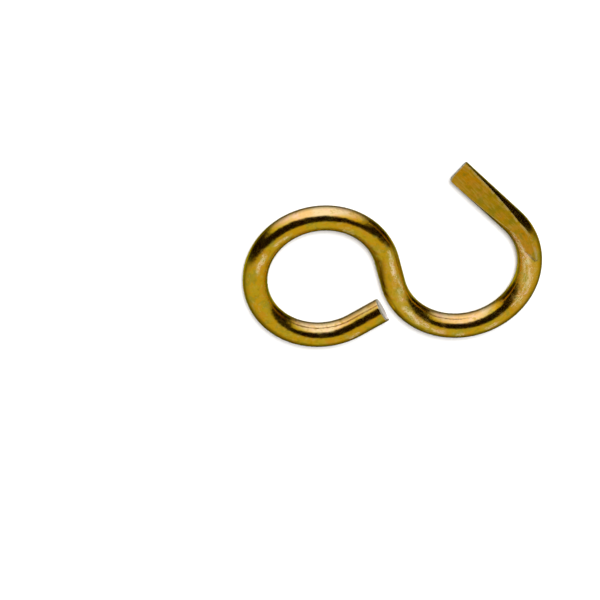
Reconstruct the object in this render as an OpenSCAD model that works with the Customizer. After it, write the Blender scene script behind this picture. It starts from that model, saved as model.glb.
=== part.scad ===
// S hook bent from one length of round steel wire, lying on its back with its flattened side up.
// Millimetres. Z is up, and +X runs from the open hook to the closed hook, through both bend centres.

/* [Wire] */
// Diameter of the round wire
wire_d = 5; // [4:0.1:5.6]

/* [Open hook] */
// Inside diameter of the open hook's bend
open_inside_d = 23.1; // [20:0.1:28]
// Angle that the wire is bent through in the open hook, in degrees
open_wrap = 209.8; // [195:0.1:220]
// Straight length of the arm that ends in the flattened tip, along the wire's axis
arm_length = 16.5; // [10:0.1:20]

/* [Middle] */
// Straight length of wire between the two bends
middle_length = 5.8; // [3:0.1:10]

/* [Closed hook] */
// Inside diameter of the closed hook's bend
closed_inside_d = 21.9; // [20:0.1:26]
// Angle that the wire is bent through in the closed hook, in degrees
closed_wrap = 286.2; // [260:0.1:288]
// Straight length of the tail that points back at the middle, along the wire's axis
tail_length = 5.9; // [3:0.1:6.8]

/* [Flat on the open hook] */
// Thickness of metal left under the flat, at the arm's end
flat_left = 3.25; // [2.6:0.05:4]
// Slope of the flat along the arm, in degrees, which makes it shallower towards the bend
flat_slope = 5; // [4:0.1:7]
// Least depth of the flat, which it keeps in the bend, up to the step where it ends
flat_step = 0.3; // [0.1:0.05:0.6]

/* [End cuts] */
// How far the arm's end face leans towards the back of the hook, in degrees
tip_lean = 25.9; // [0:0.1:35]
// How far the arm's end face is turned towards the inside of the hook, in degrees
tip_skew = 5.6; // [-10:0.1:10]
// Width of the rolled edge round the arm's end
tip_roll = 0.25; // [0.1:0.05:0.6]
// How far the tail's end face leans towards the back of the hook, in degrees
tail_lean = 16.6; // [0:0.1:30]
// How far the tail's end face is turned away from the centre of the closed bend, in degrees
tail_skew = 8.9; // [-10:0.1:12]
// Width of the rolled edge round the tail's end
tail_roll = 0.5; // [0.1:0.05:0.8]

/* [Hidden] */

// Count of steps round a full circle
round_steps = 96;

// Radius of the wire, and of its axis in the two bends
wire_r = wire_d / 2;
open_r = open_inside_d / 2 + wire_r;
closed_r = closed_inside_d / 2 + wire_r;

// Distance between the bend centres, and the turn that lays the line between them along +X
centre_gap = norm([middle_length, open_r + closed_r]);
turn = atan2(open_r + closed_r, middle_length);

// The way the arm points away from its bend, and where it leaves it, seen from the bend's centre
arm_angle = open_wrap - 180 - turn;
arm_root = open_r * [sin(arm_angle), -cos(arm_angle)];

// Length of the cutting blocks, and height of the flat's sloping and level parts above the wire's axis
flat_run = arm_length + open_r;
flat_cuts = [[flat_left - wire_r, flat_slope], [wire_r - flat_step, 0]];

// Spare length of rod beyond an end cut, and reach of a cutting block beyond the wire
spare = wire_d;
reach = 3 * wire_d;

// Depth that an end rod is sunk into its bend, and how much thinner it is so that it stays inside
sink_depth = 0.3;
sink_step = 0.01;

// Lowest Y of the arm's end, from points round the edge of its end face
tip_y = arm_root[1] + arm_length * sin(arm_angle);
edge_y = [for (i = [0 : round_steps - 1])
    let (t = 360 * i / round_steps,
         side = wire_r * cos(t),
         up = min(wire_r * sin(t), flat_left - wire_r),
         out = (up * tan(tip_lean) / cos(tip_skew)) - side * tan(tip_skew) - tip_roll)
    tip_y + out * sin(arm_angle) + side * cos(arm_angle)];

// Middle of the whole outline in X and Y
mid_x = (centre_gap + closed_r - open_r) / 2;
mid_y = (max(open_r, closed_r) + wire_r + min(min(edge_y), -closed_r - wire_r)) / 2;

steel = [0.72, 0.60, 0.32];

// A bend of the wire in the XY plane, from angle zero
module bend(axis_r, wrap)
    rotate_extrude(angle = wrap, $fn = round_steps)
        translate([axis_r, 0]) circle(d = wire_d, $fn = round_steps);

// A straight rod along +Y, from the end of a bend at angle zero
module rod(axis_r, length, rod_r = wire_r)
    translate([axis_r, 0, 0]) rotate([-90, 0, 0])
        cylinder(h = length, r = rod_r, $fn = round_steps);

// The straight rod after a bend, sunk a little into it, whose end is cut aslant and rolled over
module end_rod(axis_r, length, lean, skew, roll)
    intersection() {
        translate([0, -sink_depth, 0]) rod(axis_r, sink_depth + length + spare, wire_r - sink_step);
        translate([axis_r, length, 0]) rotate([0, 0, skew]) rotate([-lean, 0, 0]) rotate([90, 0, 0])
            cylinder(h = length + reach, r1 = wire_r - roll, r2 = wire_r - roll + length + reach,
                     $fn = round_steps);
    }

// Blocks that take the flat off the arm, and off the bend as far as it lies in line with the arm
module flat_blocks()
    for (cut = flat_cuts)
        translate([open_r - wire_r, arm_length, cut[0]]) rotate([-cut[1], 0, 0])
            translate([0, -flat_run, 0]) cube([wire_r + reach, flat_run + reach, reach]);

// Open hook: bend and flattened arm, with the bend's centre at the origin and its start on +X
module open_hook()
    difference() {
        union() {
            bend(open_r, open_wrap);
            rotate([0, 0, open_wrap]) end_rod(open_r, arm_length, tip_lean, tip_skew, tip_roll);
        }
        rotate([0, 0, open_wrap]) flat_blocks();
    }

// Closed hook: bend and tail, with the bend's centre at the origin and its start on +X
module closed_hook() {
    bend(closed_r, closed_wrap);
    rotate([0, 0, closed_wrap]) end_rod(closed_r, tail_length, tail_lean, -tail_skew, tail_roll);
}

module hook()
    color(steel) translate([-mid_x, -mid_y, wire_r]) rotate([0, 0, 90 - turn]) union() {
        open_hook();
        translate([0, -middle_length, 0]) rod(open_r, middle_length);
        translate([open_r + closed_r, -middle_length, 0]) rotate([0, 0, 180]) closed_hook();
    }

hook();
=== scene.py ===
import math

import bpy
import numpy as np
from mathutils import Matrix, Vector


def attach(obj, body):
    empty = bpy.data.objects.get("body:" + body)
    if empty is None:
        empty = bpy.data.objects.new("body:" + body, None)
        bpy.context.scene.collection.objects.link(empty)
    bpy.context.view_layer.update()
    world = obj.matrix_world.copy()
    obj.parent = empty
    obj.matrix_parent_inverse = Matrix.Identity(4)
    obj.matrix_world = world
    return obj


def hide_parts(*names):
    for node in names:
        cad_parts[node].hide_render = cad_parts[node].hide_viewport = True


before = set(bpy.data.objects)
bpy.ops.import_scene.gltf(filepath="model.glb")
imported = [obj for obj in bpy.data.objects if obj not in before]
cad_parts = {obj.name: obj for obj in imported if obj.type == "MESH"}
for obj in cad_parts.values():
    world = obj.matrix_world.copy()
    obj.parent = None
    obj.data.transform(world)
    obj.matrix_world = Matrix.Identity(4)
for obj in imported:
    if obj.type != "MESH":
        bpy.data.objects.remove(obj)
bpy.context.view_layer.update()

# Sizes of the part, in millimetres and degrees
WIRE_R = 2.5
OPEN_R, OPEN_WRAP = 14.05, 209.8
CLOSED_R, CLOSED_WRAP = 13.45, 286.2
CENTRES_Y = 3.475
ARM, MIDDLE, TAIL = 16.5, 5.8, 6.5
TIP_LEAN, TIP_SKEW, TIP_ROLL = 25.9, 5.6, 0.36
TAIL_LEAN, TAIL_SKEW, TAIL_ROLL = -1.5, -2.0, 0.3

# The flat: metal left under it, its slope and its least depth
FLAT_LEFT, FLAT_SLOPE, FLAT_STEP = 3.25, 5.0, 0.3
# Rounding of the flat's edges
EDGE = 0.12
# Run of the sloping step at the flat's end, and how far in the step stands where it has its full run
STEP_RUN, STEP_FULL = 0.22, 0.5

# Extra roll on the tip's inside corner, and the tail's burr: its place round the wire, spread and length
CORNER_ROLL = 1.9
BURR_AT, BURR_SPREAD, BURR_LENGTH = 142.0, 16.0, 0.40

# How far the flat's outer border is rubbed pale, and how wide this border is
RUBBED, RUBBED_WIDTH = 0.28, 0.34

# Columns of points on the flat, on each of its two edges, which stay crisp so, and on the round side
FLAT_COLS, EDGE_COLS, ROUND_COLS = 28, 5, 96
COLS = FLAT_COLS + 2 * EDGE_COLS + ROUND_COLS
# Length of wire past the flat over which the columns spread out evenly
SPREAD = 14.0

# Count of even rings along the wire, and the closer rings about the flat's end: from, to and spacing
EVEN_RINGS = 555
CLOSE_RINGS = (15.5, 29, 0.09)
# Length over which an end's slant fades out, and the rows of its rolled edge and of its face
BLEND = 7.0
BEND_ROWS, CAP_ROWS = 6, 6

GAP = math.hypot(MIDDLE, OPEN_R + CLOSED_R)
TURN = math.degrees(math.atan2(OPEN_R + CLOSED_R, MIDDLE))
OPEN_C = np.array([-(GAP + CLOSED_R - OPEN_R) / 2, CENTRES_Y])
CLOSED_C = OPEN_C + [GAP, 0]


def unit(deg):
    return np.array([math.cos(math.radians(deg)), math.sin(math.radians(deg))])


def left_of(v):
    return np.array([-v[1], v[0]])


# The wire's axis, from tip to tail
ARM_DIR = unit(OPEN_WRAP - 180 - TURN)
TAIL_DIR = unit(CLOSED_WRAP - TURN)
ARM_ROOT = OPEN_C - OPEN_R * left_of(ARM_DIR)
TIP = ARM_ROOT + ARM * ARM_DIR
MID_ROOT = OPEN_C + OPEN_R * unit(90 - TURN)
TAIL_ROOT = CLOSED_C - CLOSED_R * left_of(TAIL_DIR)
LENGTHS = [ARM, OPEN_R * math.radians(OPEN_WRAP), MIDDLE, CLOSED_R * math.radians(CLOSED_WRAP), TAIL]
STARTS = np.concatenate([[0], np.cumsum(LENGTHS)])
TOTAL = float(STARTS[-1])
# The flat ends before this place in the open bend
FLAT_LIMIT = STARTS[1] + OPEN_R * math.pi / 3


def axis_at(s):
    """Point on the wire's axis and its direction of travel, s millimetres from the tip."""
    if s <= STARTS[1]:
        return TIP - s * ARM_DIR, -ARM_DIR
    if s <= STARTS[2]:
        a = 90 + OPEN_WRAP - TURN - math.degrees((s - STARTS[1]) / OPEN_R)
        return OPEN_C + OPEN_R * unit(a), unit(a - 90)
    if s <= STARTS[3]:
        return MID_ROOT + (s - STARTS[2]) * unit(-TURN), unit(-TURN)
    if s <= STARTS[4]:
        a = -90 - TURN + math.degrees((s - STARTS[3]) / CLOSED_R)
        return CLOSED_C + CLOSED_R * unit(a), unit(a + 90)
    return TAIL_ROOT + (s - STARTS[4]) * TAIL_DIR, TAIL_DIR


def flat_window(s):
    """The flat's outer edge, inner edge and inner foot, to the left of travel, and its height, or None."""
    c, t = axis_at(s)
    n = left_of(t)
    if s > FLAT_LIMIT:
        return None

    def top(a):
        d = float((TIP - c) @ ARM_DIR) - a * float(n @ ARM_DIR)
        return min(FLAT_LEFT - WIRE_R + math.tan(math.radians(FLAT_SLOPE)) * d, WIRE_R - FLAT_STEP)

    # The height depends on the place across, so the edges are found by repeating, from a rough start
    outer, inner = WIRE_R * 0.8, -WIRE_R * 0.8
    for _ in range(12):
        outer = math.sqrt(WIRE_R ** 2 - top(outer) ** 2)
        inner = -math.sqrt(WIRE_R ** 2 - top(inner) ** 2)
    across = left_of(ARM_DIR)
    wall = (WIRE_R - float((c - TIP) @ across)) / float(n @ across)
    edge = max(inner, wall)
    return outer, edge, edge + STEP_RUN * min(1.0, max(0.0, (wall - inner) / STEP_FULL)), top


def is_cut(window):
    return window is not None and window[0] - window[2] > 3 * EDGE


# The last place where the flat is wide enough to be cut
LAST_CUT = max(s for s in np.arange(0, 40, 0.05) if is_cut(flat_window(s)))


def round_ring(s):
    """The cross-section at s, past the flat. The columns start as at the flat's end, and spread out evenly."""
    e = EDGE / WIRE_R
    past = min(1.0, max(0.0, (s - LAST_CUT) / SPREAD))
    past = past * past * (3 - 2 * past)
    low, high = (math.acos(a / WIRE_R) for a in flat_window(LAST_CUT)[:2])
    near = np.concatenate([
        np.linspace(low + e, high - e, FLAT_COLS),
        np.linspace(high - e, high + e, EDGE_COLS + 2)[1:-1],
        np.linspace(high + e, low - e + 2 * math.pi, ROUND_COLS),
        np.linspace(low - e, low + e, EDGE_COLS + 2)[1:-1] + 2 * math.pi])
    even = (low + high) / 2 + 2 * math.pi * (np.arange(COLS) - (FLAT_COLS - 1) / 2) / COLS
    g = near + (even - near) * past
    return WIRE_R * np.column_stack([np.cos(g), np.sin(g)]), np.zeros(COLS)


def ring(s):
    """Points of the cross-section at s, as (left of travel, up), and how far each is on the flat."""
    window = flat_window(s)
    if not is_cut(window):
        return round_ring(s)

    e = EDGE / WIRE_R
    outer, inner, foot, top = window
    low, high = math.acos(outer / WIRE_R), math.acos(inner / WIRE_R)
    across = np.linspace(outer - EDGE, foot + EDGE, FLAT_COLS)
    flat = [np.array([a, top(a)]) for a in across]
    foot_low, foot_high = np.array([outer, top(outer)]), np.array([foot, top(foot)])

    def rim(g):
        return WIRE_R * np.array([math.cos(g), math.sin(g)])

    def over(a, b, c, d, k):
        return (1 - k) ** 3 * a + 3 * k * (1 - k) ** 2 * b + 3 * k * k * (1 - k) * c + k ** 3 * d

    ks = np.linspace(0, 1, EDGE_COLS + 2)[1:-1]
    round_side = 2 * math.pi - (high - low) - 2 * e
    pts = flat + [over(flat[-1], foot_high, rim(high), rim(high + e), k) for k in ks]
    pts += [rim(high + e + round_side * k) for k in np.linspace(0, 1, ROUND_COLS)]
    pts += [over(rim(low - e), rim(low), foot_low, flat[0], k) for k in ks]
    on_flat = 1 - RUBBED * np.exp(-((across - across[0]) / RUBBED_WIDTH) ** 2)
    on_edge = np.full(EDGE_COLS, 0.5)
    return np.array(pts), np.concatenate([on_flat, on_edge, np.zeros(ROUND_COLS), on_edge])


def place(s, along, sec):
    """Points in the row frame, from a station, a step along the wire for each point, and the section."""
    c, t = axis_at(s)
    p = np.zeros((len(sec), 3))
    p[:, :2] = c + np.outer(along, t) + np.outer(sec[:, 0], left_of(t))
    p[:, 2] = sec[:, 1] + WIRE_R
    return p


def roll_at(sec, roll, sign):
    """Width of an end's rolled edge at each point of the section. The tip is rounder at its inside corner."""
    return roll * (1 + CORNER_ROLL * (sign < 0) * np.clip(-sec[:, 0] / WIRE_R, 0, 1) ** 4)


def burr_at(sec, sign):
    """Length of the burr that the cut left on the tail's outer edge."""
    off = np.degrees(np.arctan2(sec[:, 1], sec[:, 0])) - BURR_AT
    return BURR_LENGTH * (sign > 0) * np.exp(-(((off + 180) % 360 - 180) / BURR_SPREAD) ** 2)


def end_reach(sec, lean, skew):
    """How far past the axis's end the cut plane lies, for each point of the section."""
    up = sec[:, 1] * math.tan(math.radians(lean)) / math.cos(math.radians(skew))
    return up - sec[:, 0] * math.tan(math.radians(skew))


def end_cap(s, lean, skew, roll, sign):
    """Rows that roll the edge over and close the end, from the last ring inwards, and the end's middle."""
    sec, _ = ring(s)
    roll = roll_at(sec, roll, sign)[:, None]
    corner = place(s, sign * (end_reach(sec, lean, skew) + burr_at(sec, sign)), sec)
    back = -sign * np.append(axis_at(s)[1], 0.0)
    centre = corner.mean(axis=0)
    inward = centre - corner
    inward /= np.linalg.norm(inward, axis=1)[:, None]
    a, d = corner + roll * back, corner + roll * inward
    bend = [(1 - k) ** 2 * a + 2 * k * (1 - k) * corner + k * k * d
            for k in np.linspace(0, 1, BEND_ROWS + 1)[1:]]
    return bend + [d + (centre - d) * k for k in np.linspace(0, 1, CAP_ROWS + 1)[1:-1]], centre


def local(points, s):
    """Points as (millimetres along the wire, left and up in wire radii), about the station s."""
    c, t = axis_at(s)
    d = points[:, :2] - c
    return np.column_stack([s + d @ t, (d @ left_of(t)) / WIRE_R, (points[:, 2] - WIRE_R) / WIRE_R])


# Rows of points, their places on the wire, and whether they are on the flat and on an end
rows, wire, kinds = [], [], []
for s in map(float, np.unique(np.concatenate([np.linspace(0, TOTAL, EVEN_RINGS), np.arange(*CLOSE_RINGS)]))):
    sec, on = ring(s)
    along = np.zeros(COLS)
    if s < BLEND:
        along = (roll_at(sec, TIP_ROLL, -1) - end_reach(sec, TIP_LEAN, -TIP_SKEW)) * (1 - s / BLEND)
    if s > TOTAL - BLEND:
        along = end_reach(sec, TAIL_LEAN, TAIL_SKEW) + burr_at(sec, 1) - roll_at(sec, TAIL_ROLL, 1)
        along *= 1 - (TOTAL - s) / BLEND
    rows.append(place(s, along, sec))
    wire.append(np.column_stack([s + along, sec / WIRE_R]))
    kinds.append(np.column_stack([on, np.zeros(COLS)]))

tip_rows, tip_centre = end_cap(0.0, TIP_LEAN, -TIP_SKEW, TIP_ROLL, -1)
tail_rows, tail_centre = end_cap(TOTAL, TAIL_LEAN, TAIL_SKEW, TAIL_ROLL, 1)
cap_kinds = [np.column_stack([np.zeros(COLS), np.full(COLS, min(1.0, (i + 1) / BEND_ROWS))])
             for i in range(len(tip_rows))]
all_rows = tip_rows[::-1] + rows + tail_rows
all_wire = [local(r, 0.0) for r in tip_rows[::-1]] + wire + [local(r, TOTAL) for r in tail_rows]
all_kinds = cap_kinds[::-1] + kinds + cap_kinds
n_rows = len(all_rows)
verts = np.vstack(all_rows + [tip_centre[None], tail_centre[None]]) / 1000
coords = np.vstack(all_wire + [local(tip_centre[None], 0.0), local(tail_centre[None], TOTAL)])
marks = np.vstack(all_kinds + [[[0, 1.0]], [[0, 1.0]]])

# Scuffs, each from one place to another, as millimetres along the wire and degrees round it, width, strength
SCUFFS = (
    (76.4, 116, 75.4, 113, 0.34, 0.45), (74.8, 111, 71.6, 104, 0.38, 1.0), (72.5, 110, 70.6, 109, 0.34, 0.5),
    (69.8, 122, 66.6, 124, 0.50, 0.35), (67.5, 110, 65.0, 103, 0.45, 0.40), (62.9, 92, 60.6, 95, 0.46, 0.9),
    (60.4, 90, 58.2, 81, 0.42, 0.8), (58.0, 91, 56.4, 89, 0.44, 0.55), (55.0, 83, 52.8, 80, 0.50, 0.45),
    (49.8, 70, 49.0, 72, 0.34, 0.7), (44.0, 75, 42.0, 80, 0.40, 0.35), (17.0, 121, 20.4, 131, 0.18, 0.7),
    (20.4, 131, 23.0, 122, 0.42, 0.6), (22.5, 118, 26.0, 105, 0.40, 0.8), (24.6, 127, 28.5, 123, 0.36, 0.6),
    (27.4, 98, 31.0, 95, 0.42, 0.7), (29.6, 84, 33.0, 86, 0.36, 0.45), (34.0, 103, 37.0, 99, 0.36, 0.35),
    (105.6, 92, 107.4, 88, 0.40, 0.8), (107.6, 96, 109.4, 93, 0.34, 0.6), (99.5, 81, 102.5, 85, 0.30, 0.35),
    (19.5, 120, 35.0, 100, 1.35, 0.24), (74.0, 108, 57.0, 92, 0.90, 0.14), (84.8, 61, 87.0, 63, 0.30, 0.4),
    (139.4, 112, 141.0, 108, 0.36, 0.5), (6.0, 102, 8.2, 114, 0.50, 0.25),
)

# Painted shade: dark brown strokes about the middle stretch between the two bends, in the same form
PAINTED_SHADE_STROKES = (
    (79.0, 62, 75.0, 52, 0.60, 0.5), (75.0, 52, 71.0, 42, 0.90, 0.9), (71.0, 42, 66.0, 34, 0.80, 0.8),
    (66.0, 34, 61.0, 28, 0.60, 0.6),
)


def stroke_marks(points, strokes):
    """How strongly each point is marked by the nearest of some strokes."""
    out = np.zeros(len(points))
    s, g = points[:, 0], np.degrees(np.arctan2(points[:, 2], points[:, 1]))
    for s0, g0, s1, g1, width, strength in strokes:
        k = np.clip((s - s0) / (s1 - s0), 0, 1)
        across = np.radians(g - (g0 + (g1 - g0) * k)) * WIRE_R
        past = s - (s0 + (s1 - s0) * k)
        out = np.maximum(out, strength * np.exp(-(across ** 2 + past ** 2) / width ** 2))
    return out


# One closed mesh: quads between the rows, and a fan of triangles at the middle of each end
i, j = np.meshgrid(np.arange(n_rows - 1), np.arange(COLS), indexing="ij")
jn = (j + 1) % COLS
quads = np.stack([i * COLS + j, i * COLS + jn, (i + 1) * COLS + jn, (i + 1) * COLS + j], -1).reshape(-1, 4)
tip_mid, last = n_rows * COLS, (n_rows - 1) * COLS
fans = [(tip_mid, (k + 1) % COLS, k) for k in range(COLS)]
fans += [(tip_mid + 1, last + k, last + (k + 1) % COLS) for k in range(COLS)]
mesh = bpy.data.meshes.new("hook_wire")
mesh.from_pydata(verts.tolist(), [], quads.tolist() + fans)
mesh.update()
for name, values in (("wire", coords), ("marks", np.column_stack([marks, stroke_marks(coords, SCUFFS)]))):
    att = mesh.attributes.new(name, "FLOAT_VECTOR", "POINT")
    att.data.foreach_set("vector", values.astype(np.float32).ravel())
# The strokes of painted shade, kept on the points
att = mesh.attributes.new("painted_shade", "FLOAT", "POINT")
att.data.foreach_set("value", stroke_marks(coords, PAINTED_SHADE_STROKES).astype(np.float32))
mesh.polygons.foreach_set("use_smooth", [True] * len(mesh.polygons))
hook = bpy.data.objects.new("hook_wire", mesh)
bpy.context.scene.collection.objects.link(hook)
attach(hook, "root")
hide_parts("hook")

# Material: steel with a yellow passivated zinc plating, worn and scuffed, with a painted highlight and painted
# shade in its colour
mat = bpy.data.materials.new("yellow_plated_steel")
mat.use_nodes = True
nt = mat.node_tree
bsdf = nt.nodes["Principled BSDF"]


def node(kind, links=(), **values):
    """A shader node. values are its properties, and links its inputs: sockets, numbers or tuples."""
    n = nt.nodes.new(kind)
    for k, v in values.items():
        setattr(n, k, v)
    for i, v in links:
        if hasattr(v, "links"):
            nt.links.new(v, n.inputs[i])
        else:
            n.inputs[i].default_value = v
    return n


def math_of(op, x, y=0.0, clamp=False):
    return node("ShaderNodeMath", [(0, x), (1, y)], operation=op, use_clamp=clamp).outputs[0]


def add(x, y, *more):
    """The sum of two or more."""
    out = math_of("ADD", x, y)
    return add(out, *more) if more else out


def mul(x, y, *more):
    """The product of two or more."""
    out = math_of("MULTIPLY", x, y)
    return mul(out, *more) if more else out


def ramp(x, low, high):
    """0 at low, 1 at high, smooth between."""
    return node("ShaderNodeMapRange", [(0, x), (1, low), (2, high), (3, 0.0), (4, 1.0)],
                interpolation_type="SMOOTHSTEP").outputs[0]


def mix(f, x, y):
    """The colour x where f is 0, and y where it is 1."""
    x, y = (v if hasattr(v, "links") else (*v, 1) for v in (x, y))
    return node("ShaderNodeMix", [(0, f), (6, x), (7, y)], data_type="RGBA").outputs[2]


def parts_of(vector):
    return node("ShaderNodeSeparateXYZ", [(0, vector)]).outputs


def attribute(name):
    return node("ShaderNodeAttribute", attribute_name=name).outputs


wire_at = attribute("wire")["Vector"]
on_flat, on_end, scuffed = list(parts_of(attribute("marks")["Vector"]))[:3]
normal = parts_of(node("ShaderNodeTexCoord").outputs["Normal"])


def noise(along, across, scale, detail, rough=0.55):
    """Noise that is stretched by these factors along the wire and across it."""
    at = node("ShaderNodeVectorMath", [(0, wire_at), (1, (along, across, across))], operation="MULTIPLY")
    links = [("Vector", at.outputs[0]), ("Scale", scale), ("Detail", detail), ("Roughness", rough)]
    return node("ShaderNodeTexNoise", links).outputs[0]


film = noise(0.20, 0.7, 1.0, 3.0)
patch = noise(0.45, 1.2, 1.1, 3.0)
mottle = noise(0.70, 2.4, 1.2, 4.0, 0.6)
speck = noise(2.6, 6.0, 1.3, 2.0, 0.6)
streak = noise(0.26, 5.5, 1.6, 4.0, 0.6)

# Round wire: ochre in patches of orange and green, and a painted peach highlight where it faces the tail's
# side, towards the card's light
ochre = mix(ramp(film, 0.42, 0.58), (0.88, 0.48, 0.008), (0.80, 0.52, 0.014))
ochre = mix(mul(ramp(patch, 0.52, 0.66), 0.8), ochre, (0.90, 0.43, 0.014))
ochre = mix(mul(ramp(patch, 0.48, 0.34), 0.7), ochre, (0.54, 0.46, 0.030))
painted_highlight = mix(ramp(film, 0.42, 0.58), (0.92, 0.57, 0.22), (0.92, 0.68, 0.36))
painted_highlight = mix(ramp(patch, 0.52, 0.66), painted_highlight, (0.96, 0.62, 0.36))
# Painted highlight: the peach tone is laid on the sides that face −Y, less towards ±X, where the card's light
# falls
highlight_facing = add(mul(normal[1], -1.0), mul(math_of("ABSOLUTE", normal[0]), -0.5))
plating = mix(ramp(highlight_facing, 0.40, 0.72), ochre, painted_highlight)
plating = mix(mul(ramp(mottle, 0.54, 0.70), 0.45), plating, (0.94, 0.72, 0.18))
plating = mix(mul(ramp(mottle, 0.46, 0.30), 0.55), plating, (0.56, 0.36, 0.006))
plating = mix(mul(ramp(speck, 0.62, 0.76), 0.40), plating, (0.94, 0.82, 0.45))

# The flat: deeper orange, with streaks along the arm
flat_col = mix(ramp(film, 0.44, 0.56), (0.80, 0.36, 0.002), (0.64, 0.37, 0.004))
flat_col = mix(mul(ramp(patch, 0.52, 0.64), 0.60), flat_col, (0.84, 0.40, 0.030))
flat_col = mix(mul(ramp(patch, 0.48, 0.36), 0.60), flat_col, (0.40, 0.33, 0.010))
flat_col = mix(mul(ramp(mottle, 0.46, 0.32), 0.45), flat_col, (0.44, 0.23, 0.002))
flat_col = mix(mul(ramp(streak, 0.52, 0.64), 0.45), flat_col, (0.86, 0.60, 0.10))
flat_col = mix(mul(ramp(streak, 0.46, 0.34), 0.35), flat_col, (0.40, 0.26, 0.004))
colour = mix(ramp(on_flat, 0.6, 0.95), plating, flat_col)

# Painted shade in dark brown strokes, the rubbed crest of the flat's edges, and scuffs with a net of fine
# lines, fainter on the flat
colour = mix(mul(attribute("painted_shade")["Fac"], ramp(patch, 0.34, 0.52)), colour, (0.22, 0.12, 0.004))
crest = mul(ramp(on_flat, 0.10, 0.40), ramp(on_flat, 0.95, 0.60))
colour = mix(mul(crest, ramp(mottle, 0.40, 0.56), 0.8), colour, (0.92, 0.70, 0.30))
scuffed = mul(scuffed, math_of("SUBTRACT", 1.0, mul(ramp(on_flat, 0.5, 0.8), 0.70)))
break_up = add(mul(mottle, 0.6), mul(speck, 0.4))
worn = mul(scuffed, add(0.25, mul(ramp(break_up, 0.42, 0.56), 0.65)))
veins = math_of("ABSOLUTE", math_of("SUBTRACT", noise(0.50, 3.0, 1.4, 1.5, 0.5), 0.5))
worn = math_of("MAXIMUM", worn, mul(ramp(veins, 0.050, 0.015), ramp(scuffed, 0.06, 0.28), 0.60))
colour = mix(worn, colour, mix(ramp(patch, 0.45, 0.60), (0.90, 0.76, 0.44), (0.93, 0.70, 0.53)))

# The cut ends: bare steel, with painted shade making the rolled edge darker than the face
bare = ramp(on_end, 0.0, 0.20)
face = ramp(on_end, 0.75, 1.0)
# Painted shade: the rolled edge is given a darker colour than the face
rim_painted_shade = mix(ramp(speck, 0.35, 0.65), (0.30, 0.28, 0.19), (0.56, 0.53, 0.42))
face_col = mix(ramp(mottle, 0.36, 0.62), (0.76, 0.71, 0.72), (0.92, 0.88, 0.91))
colour = mix(bare, colour, mix(face, rim_painted_shade, face_col))
nt.links.new(colour, bsdf.inputs["Base Color"])

edge_only = mul(ramp(on_flat, 0.20, 0.50), ramp(on_flat, 0.90, 0.55))
rough = add(0.17, mul(ramp(mottle, 0.45, 0.70), 0.10), mul(ramp(on_flat, 0.6, 0.95), 0.14),
            mul(edge_only, 0.34), mul(worn, 0.30), mul(bare, 0.20))
nt.links.new(rough, bsdf.inputs["Roughness"])
dull = math_of("ADD", add(mul(worn, 0.45), mul(bare, 0.30)), mul(face, 0.40), True)
nt.links.new(math_of("SUBTRACT", 1.0, dull), bsdf.inputs["Metallic"])
bsdf.inputs["Specular Tint"].default_value = (0.52, 0.62, 0.30, 1)

lumps = add(noise(0.5, 1.6, 1.2, 2.0), mul(streak, 0.10), mul(speck, 0.06), mul(mottle, 0.30), mul(worn, -0.10))
bump = node("ShaderNodeBump", [("Strength", 0.35), ("Distance", 0.00012), ("Height", lumps)]).outputs[0]
nt.links.new(bump, bsdf.inputs["Normal"])
hook.data.materials.append(mat)

# Floor
bpy.ops.mesh.primitive_plane_add(size=4, location=(0, 0, 0))
floor = bpy.context.object
floor.name = "floor"
floor_mat = bpy.data.materials.new("floor")
floor_mat.use_nodes = True
floor_bsdf = floor_mat.node_tree.nodes["Principled BSDF"]
floor_bsdf.inputs["Base Color"].default_value = (0.9, 0.9, 0.9, 1)
floor_bsdf.inputs["Roughness"].default_value = 0.8
floor.data.materials.append(floor_mat)
floor.visible_glossy = False

# The studio: a large soft card in front, dark round it, and a paler wall behind, at the sides and below
world = bpy.data.worlds.new("studio")
bpy.context.scene.world = world
world.use_nodes = True
world.cycles.sampling_method = "NONE"
nt = world.node_tree
sky = parts_of(node("ShaderNodeTexCoord").outputs["Generated"])
round_x = math_of("ARCTAN2", sky[0], mul(sky[1], -1.0))
aside = math_of("ABSOLUTE", round_x)
across = math_of("ABSOLUTE", sky[0])

# The card's upper edge slopes down towards +X, and its light falls off downwards and to both sides
lifted = add(sky[2], mul(math_of("MAXIMUM", round_x, 0.0), 0.30))
card = mul(ramp(lifted, 0.74, 0.56), ramp(sky[2], -0.97, -0.78), ramp(aside, 1.10, 0.86),
           add(0.50, mul(ramp(sky[2], -0.85, -0.30), 0.50)), add(0.70, mul(ramp(aside, 0.95, 0.25), 0.42)))

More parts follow.
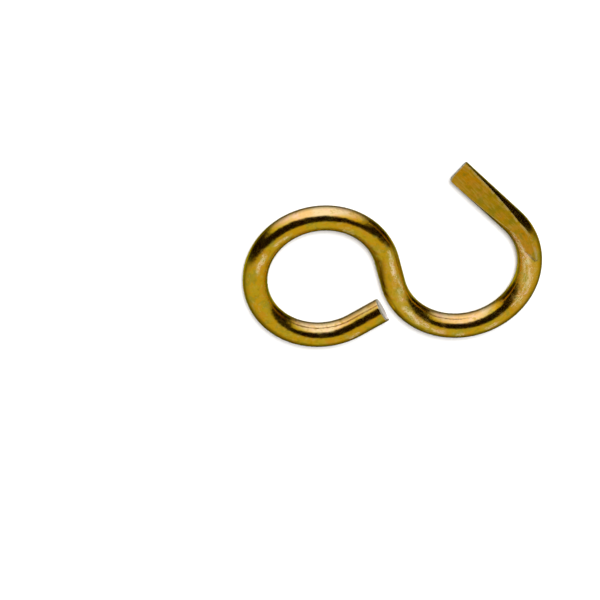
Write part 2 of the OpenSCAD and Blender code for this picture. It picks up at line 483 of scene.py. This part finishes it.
# The wall is darker in the middle
middle = mul(ramp(across, 0.80, 0.45), ramp(sky[2], 0.42, 0.10))
wall = add(0.20, mul(ramp(sky[2], -0.45, 0.05), 0.24), mul(ramp(sky[2], 0.0, 0.62), 0.12))
wall = mul(wall, math_of("SUBTRACT", 1.0, mul(middle, 0.45)), ramp(sky[1], 0.0, 0.17))
sides = mul(ramp(across, 0.09, 0.30), ramp(sky[2], -0.50, -0.75), ramp(sky[1], 0.0, 0.20), 0.62)
below = mul(ramp(sky[2], -0.50, -0.85), 0.16)
level = card
for light in (wall, below, sides, 0.010):
    level = math_of("MAXIMUM", level, light)
backdrop = nt.nodes["Background"]
nt.links.new(level, backdrop.inputs["Strength"])
nt.links.new(mix(ramp(level, 0.0, 0.12), (1.0, 0.50, 0.30), (1.0, 0.99, 0.97)), backdrop.inputs["Color"])

lamp = bpy.data.lights.new("top_fill", "AREA")
lamp.shape = "DISK"
lamp.size = 0.7
lamp.energy = 44
fill = bpy.data.objects.new("top_fill", lamp)
fill.location = (0.0, -0.96, 1.40)
fill.rotation_euler = (-fill.location).to_track_quat("-Z", "Y").to_euler()
fill.visible_glossy = False
bpy.context.scene.collection.objects.link(fill)

cam_data = bpy.data.cameras.new("camera")
cam = bpy.data.objects.new("camera", cam_data)
bpy.context.scene.collection.objects.link(cam)
bpy.context.scene.camera = cam
cam_data.sensor_width = 36
cam_data.lens = 171.56
cam_data.clip_start, cam_data.clip_end = 0.05, 20
# Columns are the picture's right, up and towards-the-viewer directions in the row frame
view = Matrix(((-0.99101979, -0.0822541, 0.1054231),
               (0.01855039, -0.86536398, -0.50080042),
               (0.13242224, -0.49434749, 0.85911868)))
# The camera looks at this point along this ray, from this distance, and is turned to put the ray mid-picture
AIM, RAY, DISTANCE = Vector((-0.000845, 0.005273, 0.0025)), Vector((0.034007, 0.007524, -1.0)), 0.575
turned = view @ RAY.rotation_difference(Vector((0, 0, -1))).to_matrix()
cam.matrix_world = Matrix.Translation(AIM - turned @ (RAY * DISTANCE)) @ turned.to_4x4()

bpy.context.scene.view_settings.view_transform = "Standard"
